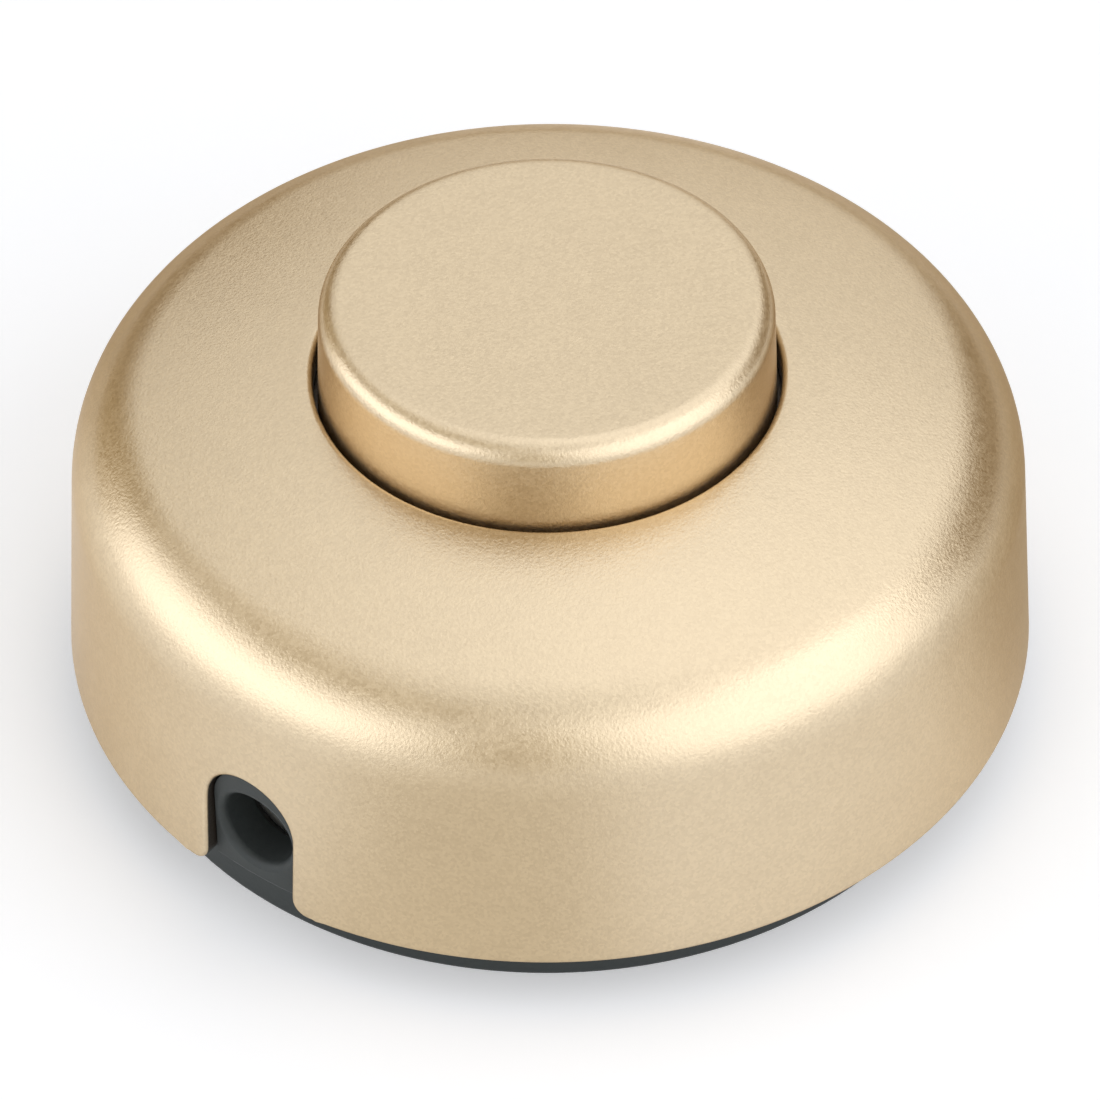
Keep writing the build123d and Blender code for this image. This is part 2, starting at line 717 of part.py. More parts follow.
pieces = {
    "cover": cover.part,
    "button": button.part,
    "base": base.part,
    "plunger": plunger.part,
    "return_spring": return_spring.part,
    "ratchet_rotor": ratchet_rotor.part,
    "rotor_axle": rotor_axle.part,
    "rotor_housing": rotor_housing.part,
    "detent_spring": detent_spring.part,
    "contact_cross": contact_cross.part,
    "contact_strip_in": contact_strip_in,
    "contact_strip_out": contact_strip_out,
    "contact_rivets": contact_rivets.part,
    "line_terminal_in": line_terminal_in,
    "line_terminal_out": line_terminal_out,
    "neutral_connector": neutral_connector,
    "terminal_screws": terminal_screws.part,
    "cord_clamp_in": cord_clamp_in,
    "cord_clamp_out": cord_clamp_out,
    "cord_seat_in": cord_seat_in,
    "cord_seat_out": cord_seat_out,
    "clamp_screws": clamp_screws.part,
    "housing_screws": housing_screws.part,
    "cover_screws": cover_screws.part,
}
for name, piece in pieces.items():
    piece.label = name
    export_step(piece, f"parts/{name}.step")
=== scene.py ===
import math

import bmesh
import bpy
from mathutils import Matrix, Vector


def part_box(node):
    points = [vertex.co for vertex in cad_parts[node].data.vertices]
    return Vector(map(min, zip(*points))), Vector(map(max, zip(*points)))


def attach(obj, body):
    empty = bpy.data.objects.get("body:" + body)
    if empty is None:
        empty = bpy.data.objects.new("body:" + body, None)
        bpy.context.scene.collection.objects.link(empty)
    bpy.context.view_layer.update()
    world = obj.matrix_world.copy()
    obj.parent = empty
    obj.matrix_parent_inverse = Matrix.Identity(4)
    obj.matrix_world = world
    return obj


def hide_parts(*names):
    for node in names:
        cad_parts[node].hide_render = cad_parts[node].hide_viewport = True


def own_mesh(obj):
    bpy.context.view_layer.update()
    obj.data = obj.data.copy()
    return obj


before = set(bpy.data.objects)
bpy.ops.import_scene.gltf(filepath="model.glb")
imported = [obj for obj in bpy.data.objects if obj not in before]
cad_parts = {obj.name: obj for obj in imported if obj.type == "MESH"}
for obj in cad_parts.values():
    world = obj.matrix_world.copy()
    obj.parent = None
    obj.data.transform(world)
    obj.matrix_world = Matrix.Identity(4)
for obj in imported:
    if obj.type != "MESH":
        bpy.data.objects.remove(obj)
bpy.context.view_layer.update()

# Sizes in metres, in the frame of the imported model: +Z up, the cord along X
COVER_RADIUS = 0.031  # at the lower edge
COVER_HEIGHT = 0.021  # from the solid's lower edge to the rim of the button hole
SKIRT_DROP = 0.00028  # of the lower edge below the solid's, to match the photograph
COVER_DRAFT = math.radians(3.5)
COVER_WALL = 0.002
COVER_EDGE = 0.0003  # round the lower edge and the notches
CROWN_RADIUS = 0.103
SHOULDER_RADIUS = 0.0063
CROWN_RIM = 0.015  # radius at which the crown reaches the cover's height
HOLE_RADIUS = 0.0147  # for the button, as in the photograph
HOLE_EDGE = 0.0004
NOTCH_HALF_WIDTH = 0.0034
NOTCH_ARCH_Z = 0.00935
NOTCH_FLARE = 0.0012  # radius at the foot of a notch
COVER_BOSS_RADIUS = 0.0032
COVER_BOSS_FOOT = 0.0095
COVER_BOSS_Y = 0.0237
PILOT_RADIUS = 0.00155
PILOT_DEPTH = 0.0049

BUTTON_TOP_RADIUS = 0.0142
BUTTON_FOOT_RADIUS = 0.01444  # above the flange
BUTTON_EDGE = 0.0014
BUTTON_BORE = 0.01245
BUTTON_TOP_WALL = 0.002
BUTTON_FLANGE = 0.0015
BUTTON_FLANGE_EDGE = 0.0003
PEG_RADIUS = 0.00395
PEG_LENGTH = 0.006

SPRING_WIRE = 0.0009
SPRING_END_TURNS = 0.7  # flat, at each end
SPRING_TURNS = 2.6

LEAF_CORNER = 0.0004

HEAD_SHARE = 0.7  # height of a screw head for each unit of its radius
SLOT_WIDTH = 0.0007
THREAD_DEPTH_SHARE = 0.16  # of the shank's radius
THREAD_PITCH_SHARE = 0.42  # of the shank's radius
TIP_LENGTH = 0.0004
COVER_HEAD = 0.0027
COVER_SHANK = 0.0015
CLAMP_HEAD = 0.0023
CLAMP_SHANK = 0.00125
HOUSING_HEAD = 0.002
HOUSING_SHANK = 0.001
TERMINAL_HEAD = 0.0021
TERMINAL_SHANK = 0.0014
TERMINAL_LENGTH = 0.00325
CONNECTOR_SCREW_X = 0.0055

# Fineness of the meshes
TURN_STEPS = 360
SHOULDER_STEPS = 18
CROWN_STEPS = 14
EDGE_STEPS = 6
WALL_ROWS = 25
NOTCH_TURN = math.radians(18.25)  # half the sector of the wall that a notch is drawn in
NOTCH_SHARE = 0.76  # of the wall's height
NOTCH_ROWS = 6
BOSS_SIDES = 64
WIRE_SIDES = 14
COIL_STEPS = 64  # for one turn
SCREW_SIDES = 40
THREAD_ROWS = 8  # for one pitch
SHARP = math.radians(32)
NEAR = 1e-7  # distance within which points count as one

# Heights of the cover's lower edge and of its rim
solid_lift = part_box("cover")[0].z
cover_lift = solid_lift - SKIRT_DROP
cover_top = solid_lift + COVER_HEIGHT
crown_centre = Vector((0, 0, cover_top - math.sqrt(CROWN_RADIUS**2 - CROWN_RIM**2)))


# Places of the sockets of a Mix node, for numbers and for colours
MIX_FACTOR = 0
NUMBER_A = 2
NUMBER_B = 3
NUMBER_RESULT = 0
COLOUR_A = 6
COLOUR_B = 7
COLOUR_RESULT = 2

# Painted shade on the gold parts: a dark colour on surfaces that face the core or lie below the brim
UNSHADED_FACING = 0.1  # cosine at which a surface that turns outwards is fully gold, without painted shade
SHADE_FADE_HEIGHT = 0.0012  # height over the brim at which the painted shade has faded out and the gold is full
# Colour of the painted shade in the gaps and hollows
PAINTED_GAP_SHADE = (0.035, 0.028, 0.022, 1)


# Shader helpers
def new_material(name):
    """Material with a Principled BSDF, returned with its node tree and that shader."""
    material = bpy.data.materials.new(name)
    material.use_nodes = True
    tree = material.node_tree
    return material, tree, tree.nodes["Principled BSDF"]


def add_node(tree, kind, **values):
    """Node of a kind, with its properties and its unlinked inputs set by name."""
    node = tree.nodes.new(kind)
    for key, value in values.items():
        if hasattr(node, key):
            setattr(node, key, value)
        else:
            node.inputs[key.replace("_", " ").title()].default_value = value
    return node


def grain_group():
    """Fine grain of a moulded or lacquered surface: its height, and a tone that wanders over it."""
    group = bpy.data.node_groups.new("moulded_grain", "ShaderNodeTree")
    face = group.interface
    face.new_socket("Position", in_out="INPUT", socket_type="NodeSocketVector")
    face.new_socket("Grains per metre", in_out="INPUT", socket_type="NodeSocketFloat")
    face.new_socket("Clouds per metre", in_out="INPUT", socket_type="NodeSocketFloat")
    face.new_socket("Height", in_out="OUTPUT", socket_type="NodeSocketFloat")
    face.new_socket("Speck", in_out="OUTPUT", socket_type="NodeSocketFloat")
    face.new_socket("Cloud", in_out="OUTPUT", socket_type="NodeSocketFloat")
    entry = group.nodes.new("NodeGroupInput")
    leave = group.nodes.new("NodeGroupOutput")
    grain = add_node(group, "ShaderNodeTexNoise", detail=2.0, roughness=0.55)
    speck = add_node(group, "ShaderNodeTexVoronoi", randomness=1.0)
    cloud = add_node(group, "ShaderNodeTexNoise", detail=3.0, roughness=0.5)
    tone = group.nodes.new("ShaderNodeSeparateColor")
    for texture in (grain, speck, cloud):
        group.links.new(entry.outputs["Position"], texture.inputs["Vector"])
    group.links.new(entry.outputs["Grains per metre"], grain.inputs["Scale"])
    group.links.new(entry.outputs["Grains per metre"], speck.inputs["Scale"])
    group.links.new(entry.outputs["Clouds per metre"], cloud.inputs["Scale"])
    group.links.new(speck.outputs["Color"], tone.inputs["Color"])
    group.links.new(grain.outputs["Fac"], leave.inputs["Height"])
    group.links.new(tone.outputs["Red"], leave.inputs["Speck"])
    group.links.new(cloud.outputs["Fac"], leave.inputs["Cloud"])
    return group


def shade_mask_group():
    """Share of gold over painted shade: none, so full painted shade, where a surface faces the core, below
    the brim.
    """
    group = bpy.data.node_groups.new("painted_shade_mask", "ShaderNodeTree")
    face = group.interface
    face.new_socket("Position", in_out="INPUT", socket_type="NodeSocketVector")
    face.new_socket("Normal", in_out="INPUT", socket_type="NodeSocketVector")
    face.new_socket("Core", in_out="INPUT", socket_type="NodeSocketVector")
    face.new_socket("Brim", in_out="INPUT", socket_type="NodeSocketFloat")
    face.new_socket("Share", in_out="OUTPUT", socket_type="NodeSocketFloat")
    entry = group.nodes.new("NodeGroupInput")
    leave = group.nodes.new("NodeGroupOutput")
    away = add_node(group, "ShaderNodeVectorMath", operation="SUBTRACT")
    unit = add_node(group, "ShaderNodeVectorMath", operation="NORMALIZE")
    facing = add_node(group, "ShaderNodeVectorMath", operation="DOT_PRODUCT")
    outside = group.nodes.new("ShaderNodeMapRange")
    outside.inputs["From Max"].default_value = UNSHADED_FACING
    height = group.nodes.new("ShaderNodeSeparateXYZ")
    over_brim = add_node(group, "ShaderNodeMath", operation="SUBTRACT")
    above = group.nodes.new("ShaderNodeMapRange")
    above.inputs["From Max"].default_value = SHADE_FADE_HEIGHT
    share = add_node(group, "ShaderNodeMath", operation="MAXIMUM")
    group.links.new(entry.outputs["Position"], away.inputs[0])
    group.links.new(entry.outputs["Core"], away.inputs[1])
    group.links.new(away.outputs["Vector"], unit.inputs[0])
    group.links.new(unit.outputs["Vector"], facing.inputs[0])
    group.links.new(entry.outputs["Normal"], facing.inputs[1])
    group.links.new(facing.outputs["Value"], outside.inputs["Value"])
    group.links.new(entry.outputs["Position"], height.inputs["Vector"])
    group.links.new(height.outputs["Z"], over_brim.inputs[0])
    group.links.new(entry.outputs["Brim"], over_brim.inputs[1])
    group.links.new(over_brim.outputs[0], above.inputs["Value"])
    group.links.new(outside.outputs["Result"], share.inputs[0])
    group.links.new(above.outputs["Result"], share.inputs[1])
    group.links.new(share.outputs[0], leave.inputs["Share"])
    return group


GRAIN = grain_group()
SHADE_MASK = shade_mask_group()


def grained(name, dark, light, roughness, grains, clouds, depth, speckle=0.0, **plain):
    """Material whose colour, roughness and height follow the fine grain, with its plain shader values."""
    material, tree, shader = new_material(name)
    place = tree.nodes.new("ShaderNodeTexCoord")
    grain = tree.nodes.new("ShaderNodeGroup")
    grain.node_tree = GRAIN
    grain.inputs["Grains per metre"].default_value = grains
    grain.inputs["Clouds per metre"].default_value = clouds
    tree.links.new(place.outputs["Object"], grain.inputs["Position"])
    share = add_node(tree, "ShaderNodeMix", data_type="FLOAT")
    share.inputs[MIX_FACTOR].default_value = speckle
    tree.links.new(grain.outputs["Cloud"], share.inputs[NUMBER_A])
    tree.links.new(grain.outputs["Speck"], share.inputs[NUMBER_B])
    colour = add_node(tree, "ShaderNodeMix", data_type="RGBA")
    colour.inputs[COLOUR_A].default_value = (*dark, 1)
    colour.inputs[COLOUR_B].default_value = (*light, 1)
    tree.links.new(share.outputs[NUMBER_RESULT], colour.inputs[MIX_FACTOR])
    tree.links.new(colour.outputs[COLOUR_RESULT], shader.inputs["Base Color"])
    gloss = tree.nodes.new("ShaderNodeMapRange")
    gloss.inputs["To Min"].default_value = roughness[0]
    gloss.inputs["To Max"].default_value = roughness[1]
    tree.links.new(share.outputs[NUMBER_RESULT], gloss.inputs["Value"])
    tree.links.new(gloss.outputs["Result"], shader.inputs["Roughness"])
    bump = tree.nodes.new("ShaderNodeBump")
    bump.inputs["Distance"].default_value = depth
    tree.links.new(grain.outputs["Height"], bump.inputs["Height"])
    tree.links.new(bump.outputs["Normal"], shader.inputs["Normal"])
    for key, value in plain.items():
        shader.inputs[key.replace("_", " ").title().replace("Ior", "IOR")].default_value = value
    return material


def lacquer_and_painted_shade(material, core, brim):
    """Keeps the metal finish to surfaces that face outwards or stand above the brim, and paints dark shade
    on the rest: the gap round the button, its flange, the notches and the insides.
    """
    tree = material.node_tree
    shader = tree.nodes["Principled BSDF"]
    place = tree.nodes["Texture Coordinate"]
    shade_node = tree.nodes.new("ShaderNodeGroup")
    shade_node.node_tree = SHADE_MASK
    shade_node.inputs["Core"].default_value = core
    shade_node.inputs["Brim"].default_value = brim
    tree.links.new(place.outputs["Object"], shade_node.inputs["Position"])
    tree.links.new(place.outputs["Normal"], shade_node.inputs["Normal"])
    colour = add_node(tree, "ShaderNodeMix", data_type="RGBA")
    colour.inputs[COLOUR_A].default_value = PAINTED_GAP_SHADE
    tree.links.new(shade_node.outputs["Share"], colour.inputs[MIX_FACTOR])
    tree.links.new(shader.inputs["Base Color"].links[0].from_socket, colour.inputs[COLOUR_B])
    tree.links.new(colour.outputs[COLOUR_RESULT], shader.inputs["Base Color"])
    tree.links.new(shade_node.outputs["Share"], shader.inputs["Metallic"])
    return material


def gold_lacquer(name, core, brim):
    """Satin gold metallic finish of the cover and the button, over painted shade in their gaps and
    hollows.
    """
    material = grained(
        name,
        dark=(0.611, 0.492, 0.332),
        light=(0.731, 0.6, 0.411),
        roughness=(0.29, 0.41),
        grains=5200,
        clouds=260,
        depth=0.000024,
        speckle=0.6,
        specular_tint=(0.72, 0.55, 0.34, 1),
        coat_weight=0.5,
        coat_roughness=0.25,
    )
    return lacquer_and_painted_shade(material, core, brim)


# The cover and the button get painted shade in their gaps, notches and insides
gold_cover = gold_lacquer("gold_cover_lacquer", core=(0, 0, 0), brim=cover_top - COVER_WALL)
gold_button = gold_lacquer("gold_button_lacquer", core=(0, 0, cover_top), brim=cover_top)
grey_plastic = grained(
    "dark_grey_plastic",
    dark=(0.037, 0.043, 0.042),
    light=(0.051, 0.058, 0.056),
    roughness=(0.42, 0.6),
    grains=4200,
    clouds=300,
    depth=0.00001,
    speckle=0.3,
    specular_ior_level=0.3,
)
white_plastic = grained(
    "white_acetal",
    dark=(0.74, 0.73, 0.7),
    light=(0.83, 0.82, 0.79),
    roughness=(0.3, 0.42),
    grains=3600,
    clouds=400,
    depth=0.000005,
    speckle=0.2,
    subsurface_weight=0.08,
    subsurface_scale=0.001,
)
clamp_plastic = grained(
    "natural_nylon",
    dark=(0.7, 0.68, 0.61),
    light=(0.8, 0.78, 0.71),
    roughness=(0.4, 0.55),
    grains=3600,
    clouds=350,
    depth=0.000006,
    speckle=0.2,
)
black_plastic = grained(
    "black_bakelite",
    dark=(0.018, 0.017, 0.017),
    light=(0.03, 0.029, 0.028),
    roughness=(0.28, 0.42),
    grains=3000,
    clouds=300,
    depth=0.000006,
    speckle=0.2,
)
brass = grained(
    "drawn_brass",
    dark=(0.62, 0.44, 0.18),
    light=(0.78, 0.58, 0.27),
    roughness=(0.22, 0.4),
    grains=5200,
    clouds=500,
    depth=0.000004,
    speckle=0.25,
    metallic=1.0,
)
bronze = grained(
    "spring_bronze",
    dark=(0.56, 0.33, 0.17),
    light=(0.7, 0.43, 0.24),
    roughness=(0.2, 0.36),
    grains=4800,
    clouds=450,
    depth=0.000003,
    speckle=0.2,
    metallic=1.0,
)
silver = grained(
    "contact_silver",
    dark=(0.78, 0.77, 0.74),
    light=(0.9, 0.89, 0.86),
    roughness=(0.18, 0.32),
    grains=5200,
    clouds=700,
    depth=0.000003,
    speckle=0.3,
    metallic=1.0,
)
zinc = grained(
    "bright_zinc",
    dark=(0.56, 0.58, 0.6),
    light=(0.72, 0.74, 0.76),
    roughness=(0.2, 0.36),
    grains=5600,
    clouds=600,
    depth=0.000003,
    speckle=0.35,
    metallic=1.0,
)
spring_steel = grained(
    "spring_steel",
    dark=(0.4, 0.41, 0.42),
    light=(0.56, 0.57, 0.58),
    roughness=(0.2, 0.34),
    grains=5600,
    clouds=500,
    depth=0.000003,
    speckle=0.3,
    metallic=1.0,
)
axle_steel = grained(
    "ground_steel",
    dark=(0.52, 0.53, 0.54),
    light=(0.64, 0.65, 0.66),
    roughness=(0.16, 0.28),
    grains=6000,
    clouds=500,
    depth=0.000002,
    speckle=0.3,
    metallic=1.0,
)

# Finish of each CAD node
finishes = {
    "cover": gold_cover,
    "button": gold_button,
    "base": grey_plastic,
    "plunger": white_plastic,
    "ratchet_rotor": white_plastic,
    "rotor_housing": black_plastic,
    "cord_clamp_in": clamp_plastic,
    "cord_clamp_out": clamp_plastic,
    "cord_seat_in": clamp_plastic,
    "cord_seat_out": clamp_plastic,
    "return_spring": spring_steel,
    "detent_spring": spring_steel,
    "rotor_axle": axle_steel,
    "contact_cross": brass,
    "contact_strip_in": bronze,
    "contact_strip_out": bronze,
    "contact_rivets": silver,
    "line_terminal_in": brass,
    "line_terminal_out": brass,
    "neutral_connector": brass,
    "terminal_screws": zinc,
    "clamp_screws": zinc,
    "housing_screws": zinc,
    "cover_screws": zinc,
}
for node_name, finish in finishes.items():
    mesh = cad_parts[node_name].data
    mesh.materials.clear()
    mesh.materials.append(finish)


# Modelling helpers
def vertices(result):
    """The vertices among what an extrusion or a spin has made."""
    return [item for item in result if isinstance(item, bmesh.types.BMVert)]


def arc_to(bm, vertex, centre, turn, steps):
    """Arc of a profile in the XZ plane about a centre, its turn counted from +X to +Z; returns its end."""
    arc = bmesh.ops.spin(bm, geom=[vertex], cent=centre, axis=(0, -1, 0), angle=turn, steps=steps)
    return vertices(arc["geom_last"])[0]


def line_to(bm, vertex, x, z, rows=1):
    """Straight run of a profile in the XZ plane, cut into rows; returns its end."""
    start = vertex.co.copy()
    end = Vector((x, 0, z))
    for row in range(1, rows + 1):
        vertex = bmesh.ops.extrude_vert_indiv(bm, verts=[vertex])["verts"][0]
        vertex.co = start.lerp(end, row / rows)
    return vertex


def turn_round(bm):
    """Turns the profile all the way round the Z axis."""
    profile = bm.verts[:] + bm.edges[:]
    full = 2 * math.pi
    bmesh.ops.spin(bm, geom=profile, axis=(0, 0, 1), angle=full, steps=TURN_STEPS, use_merge=True)
    bmesh.ops.remove_doubles(bm, verts=bm.verts, dist=NEAR)


def round_edges(bm, edges, radius):
    """Rounds edges to a radius."""
    bmesh.ops.bevel(
        bm,
        geom=edges,
        offset=radius,
        offset_type="OFFSET",
        segments=EDGE_STEPS,
        profile=0.5,
        affect="EDGES",
        material=-1,
    )


def add_piece(name, bm, material, body, node):
    """Object of a finished mesh that rides on a body in the place of a CAD node."""
    bmesh.ops.recalc_face_normals(bm, faces=bm.faces)
    for face in bm.faces:
        face.smooth = True
    for edge in bm.edges:
        edge.smooth = not edge.is_manifold or edge.calc_face_angle() < SHARP
    mesh = bpy.data.meshes.new(name)
    bm.to_mesh(mesh)
    bm.free()
    mesh.materials.append(material)
    piece = bpy.data.objects.new(name, mesh)
    bpy.context.scene.collection.objects.link(piece)
    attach(piece, body)
    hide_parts(node)
    return piece


def even_normals(piece):
    """Keeps the shading of flat faces flat beside small rounds."""
    piece.modifiers.new("even_normals", "WEIGHTED_NORMAL").keep_sharp = True


# Cover: two turned skins that meet round the button hole, with a notch for the cord at each end
wall_out = Vector((math.cos(COVER_DRAFT), 0, math.sin(COVER_DRAFT)))
wall_up = Vector((-math.sin(COVER_DRAFT), 0, math.cos(COVER_DRAFT)))
wall_line = Vector((COVER_RADIUS, 0, cover_lift)) - wall_out * SHOULDER_RADIUS
from_crown = wall_line - crown_centre
along_wall = from_crown.dot(wall_up)
shoulder_reach = CROWN_RADIUS - SHOULDER_RADIUS
wall_length = math.sqrt(along_wall**2 - from_crown.length_squared + shoulder_reach**2) - along_wall
shoulder_centre = wall_line + wall_up * wall_length
shoulder_way = shoulder_centre - crown_centre
shoulder_end = math.atan2(shoulder_way.z, shoulder_way.x)
rim_x = HOLE_RADIUS + HOLE_EDGE
rim_centre = crown_centre + Vector((rim_x, 0, math.sqrt((CROWN_RADIUS - HOLE_EDGE) ** 2 - rim_x**2)))
rim_way = rim_centre - crown_centre
rim_start = math.atan2(rim_way.z, rim_way.x)


def skin_radius(z, inset):
    """Radius at a height of the cover's wall, or of a skin set in from its outside."""
    return COVER_RADIUS - inset / math.cos(COVER_DRAFT) - math.tan(COVER_DRAFT) * (z - cover_lift)


def wall_top(inset):
    """Point where the straight wall of a skin meets its shoulder."""
    return shoulder_centre + wall_out * (SHOULDER_RADIUS - inset)


def crown_height(radius, inset):
    """Height of a skin's crown or shoulder at a radius."""
    shoulder = SHOULDER_RADIUS - inset
    if radius > shoulder_centre.x + shoulder * math.cos(shoulder_end):
        return shoulder_centre.z + math.sqrt(shoulder**2 - (radius - shoulder_centre.x) ** 2)
    return crown_centre.z + math.sqrt((CROWN_RADIUS - inset) ** 2 - radius**2)


notch_arch = NOTCH_HALF_WIDTH * math.pi / 2
notch_straight = NOTCH_ARCH_Z - cover_lift - NOTCH_FLARE
notch_half_length = notch_arch + notch_straight + NOTCH_FLARE * math.pi / 2


def notch_point(distance):
    """Point (y, z) of a notch's outline at a distance along it from the top, negative towards -Y."""
    way = abs(distance)
    if way < notch_arch:
        turn = way / NOTCH_HALF_WIDTH
        y = NOTCH_HALF_WIDTH * math.sin(turn)
        z = NOTCH_ARCH_Z + NOTCH_HALF_WIDTH * math.cos(turn)
    elif way < notch_arch + notch_straight:
        y = NOTCH_HALF_WIDTH
        z = NOTCH_ARCH_Z - way + notch_arch
    else:
        turn = (way - notch_arch - notch_straight) / NOTCH_FLARE
        y = NOTCH_HALF_WIDTH + NOTCH_FLARE * (1 - math.cos(turn))
        z = cover_lift + NOTCH_FLARE * (1 - math.sin(turn))
    return math.copysign(y, distance), z


def middle(edge):
    """Point half way along an edge."""
    return (edge.verts[0].co + edge.verts[1].co) / 2


def in_order(border):
    """Vertices round a notch, from its +Y foot over its top to its -Y foot."""
    below = cover_lift - NEAR
    return sorted(border, key=lambda vertex: math.atan2(vertex.co.z - below, vertex.co.y))


def cut_notch(bm, side, inset):
    """Opens one skin of the wall on one side and fills it again up to the outline of the notch."""
    top_z = cover_lift + NOTCH_SHARE * (wall_top(inset).z - cover_lift)

    def in_sector(point):
        """True for a point of this skin in the sector that the notch lies in."""
        depth = skin_radius(point.z, inset) - math.hypot(point.x, point.y)
        return abs(depth) < COVER_WALL / 4 and abs(math.atan2(point.y, side * point.x)) < NOTCH_TURN

    block = []
    for face in bm.faces:
        centre = face.calc_center_median()
        if centre.z < top_z and in_sector(centre):
            block.append(face)
    bmesh.ops.delete(bm, geom=block, context="FACES")
    border = []
    for edge in bm.edges:
        if edge.is_boundary and middle(edge).z > cover_lift + NEAR and in_sector(middle(edge)):
            border.append(edge)
    first = in_order({vertex for edge in border for vertex in edge.verts})
    places = [vertex.co.copy() for vertex in first]
    for row in range(1, NOTCH_ROWS + 1):
        grown = bmesh.ops.extrude_edge_only(bm, edges=border)["geom"]
        border = [item for item in grown if isinstance(item, bmesh.types.BMEdge) and item.is_boundary]
        border = [edge for edge in border if middle(edge).z > cover_lift + NEAR]
        for step, vertex in enumerate(in_order(vertices(grown))):
            y, z = notch_point(notch_half_length * (1 - 2 * step / (len(places) - 1)))
            share = row / NOTCH_ROWS
            y = places[step].y + (y - places[step].y) * share
            z = places[step].z + (z - places[step].z) * share
            vertex.co = (side * math.sqrt(skin_radius(z, inset) ** 2 - y**2), y, z)


def add_boss(bm, y):
    """Screw boss under the crown with its pilot hole, its top inside the cover's wall."""
    place = Matrix.Translation((0, y, COVER_BOSS_FOOT))
    ring = bmesh.ops.create_circle(
        bm, cap_ends=True, segments=BOSS_SIDES, radius=COVER_BOSS_RADIUS, matrix=place
    )
    foot = ring["verts"][0].link_faces[0]
    outer = list(foot.edges)
    bmesh.ops.inset_region(bm, faces=[foot], thickness=COVER_BOSS_RADIUS - PILOT_RADIUS)
    hole = bmesh.ops.extrude_face_region(bm, geom=[foot])
    bmesh.ops.translate(bm, verts=vertices(hole["geom"]), vec=(0, 0, PILOT_DEPTH))
    wall = bmesh.ops.extrude_edge_only(bm, edges=outer)
    for vertex in vertices(wall["geom"]):
        vertex.co.z = crown_height(math.hypot(vertex.co.x, vertex.co.y), COVER_WALL / 2)


def make_cover():
    """Cover with its notches, its rounded lower edge and its bosses."""
    bm = bmesh.new()
    inner_rim = math.sqrt((CROWN_RADIUS - COVER_WALL) ** 2 - HOLE_RADIUS**2)
    inner_start = math.atan2(inner_rim, HOLE_RADIUS)
    vertex = bm.verts.new((skin_radius(cover_lift, 0), 0, cover_lift))
    vertex = line_to(bm, vertex, wall_top(0).x, wall_top(0).z, WALL_ROWS)
    vertex = arc_to(bm, vertex, shoulder_centre, shoulder_end - COVER_DRAFT, SHOULDER_STEPS)
    vertex = arc_to(bm, vertex, crown_centre, rim_start - shoulder_end, CROWN_STEPS)
    vertex = arc_to(bm, vertex, rim_centre, math.pi - rim_start, EDGE_STEPS)
    vertex = line_to(bm, vertex, HOLE_RADIUS, crown_centre.z + inner_rim)
    vertex = arc_to(bm, vertex, crown_centre, shoulder_end - inner_start, CROWN_STEPS)
    vertex = arc_to(bm, vertex, shoulder_centre, COVER_DRAFT - shoulder_end, SHOULDER_STEPS)
    line_to(bm, vertex, skin_radius(cover_lift, COVER_WALL), cover_lift, WALL_ROWS)
    turn_round(bm)
    for side in (-1, 1):
        cut_notch(bm, side, 0)
        cut_notch(bm, side, COVER_WALL)
    border = [edge for edge in bm.edges if edge.is_boundary]
    outer = []
    for edge in border:
        point = edge.verts[0].co
        if skin_radius(point.z, 0) - math.hypot(point.x, point.y) < COVER_WALL / 2:
            outer.append(edge)
    bmesh.ops.bridge_loops(bm, edges=border)
    round_edges(bm, outer, COVER_EDGE)
    for y in (-COVER_BOSS_Y, COVER_BOSS_Y):
        add_boss(bm, y)
    even_normals(add_piece("cover_shell", bm, gold_cover, "housing", "cover"))


# Button: a turned cap with a flange under the cover and a peg for the plunger
def make_button():
    """Push button."""
    low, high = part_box("button")
    flange_top = low.z + BUTTON_FLANGE
    flange_radius = high.x
    ceiling = high.z - BUTTON_TOP_WALL
    edge_x = BUTTON_TOP_RADIUS - BUTTON_EDGE
    flange_edge_x = flange_radius - BUTTON_FLANGE_EDGE
    quarter = -math.pi / 2
    bm = bmesh.new()
    vertex = bm.verts.new((0, 0, high.z))
    vertex = line_to(bm, vertex, edge_x, high.z, CROWN_STEPS)
    vertex = arc_to(bm, vertex, (edge_x, 0, high.z - BUTTON_EDGE), quarter, SHOULDER_STEPS)
    vertex = line_to(bm, vertex, BUTTON_FOOT_RADIUS, flange_top, CROWN_STEPS)
    vertex = line_to(bm, vertex, flange_edge_x, flange_top)
    vertex = arc_to(bm, vertex, (flange_edge_x, 0, flange_top - BUTTON_FLANGE_EDGE), quarter, EDGE_STEPS)
    vertex = line_to(bm, vertex, flange_radius, low.z + BUTTON_FLANGE_EDGE)
    vertex = arc_to(bm, vertex, (flange_edge_x, 0, low.z + BUTTON_FLANGE_EDGE), quarter, EDGE_STEPS)
    vertex = line_to(bm, vertex, BUTTON_BORE, low.z)
    vertex = line_to(bm, vertex, BUTTON_BORE, ceiling)
    vertex = line_to(bm, vertex, PEG_RADIUS, ceiling)
    vertex = line_to(bm, vertex, PEG_RADIUS, ceiling - PEG_LENGTH)
    line_to(bm, vertex, 0, ceiling - PEG_LENGTH)
    turn_round(bm)
    even_normals(add_piece("button_cap", bm, gold_button, "push_button", "button"))
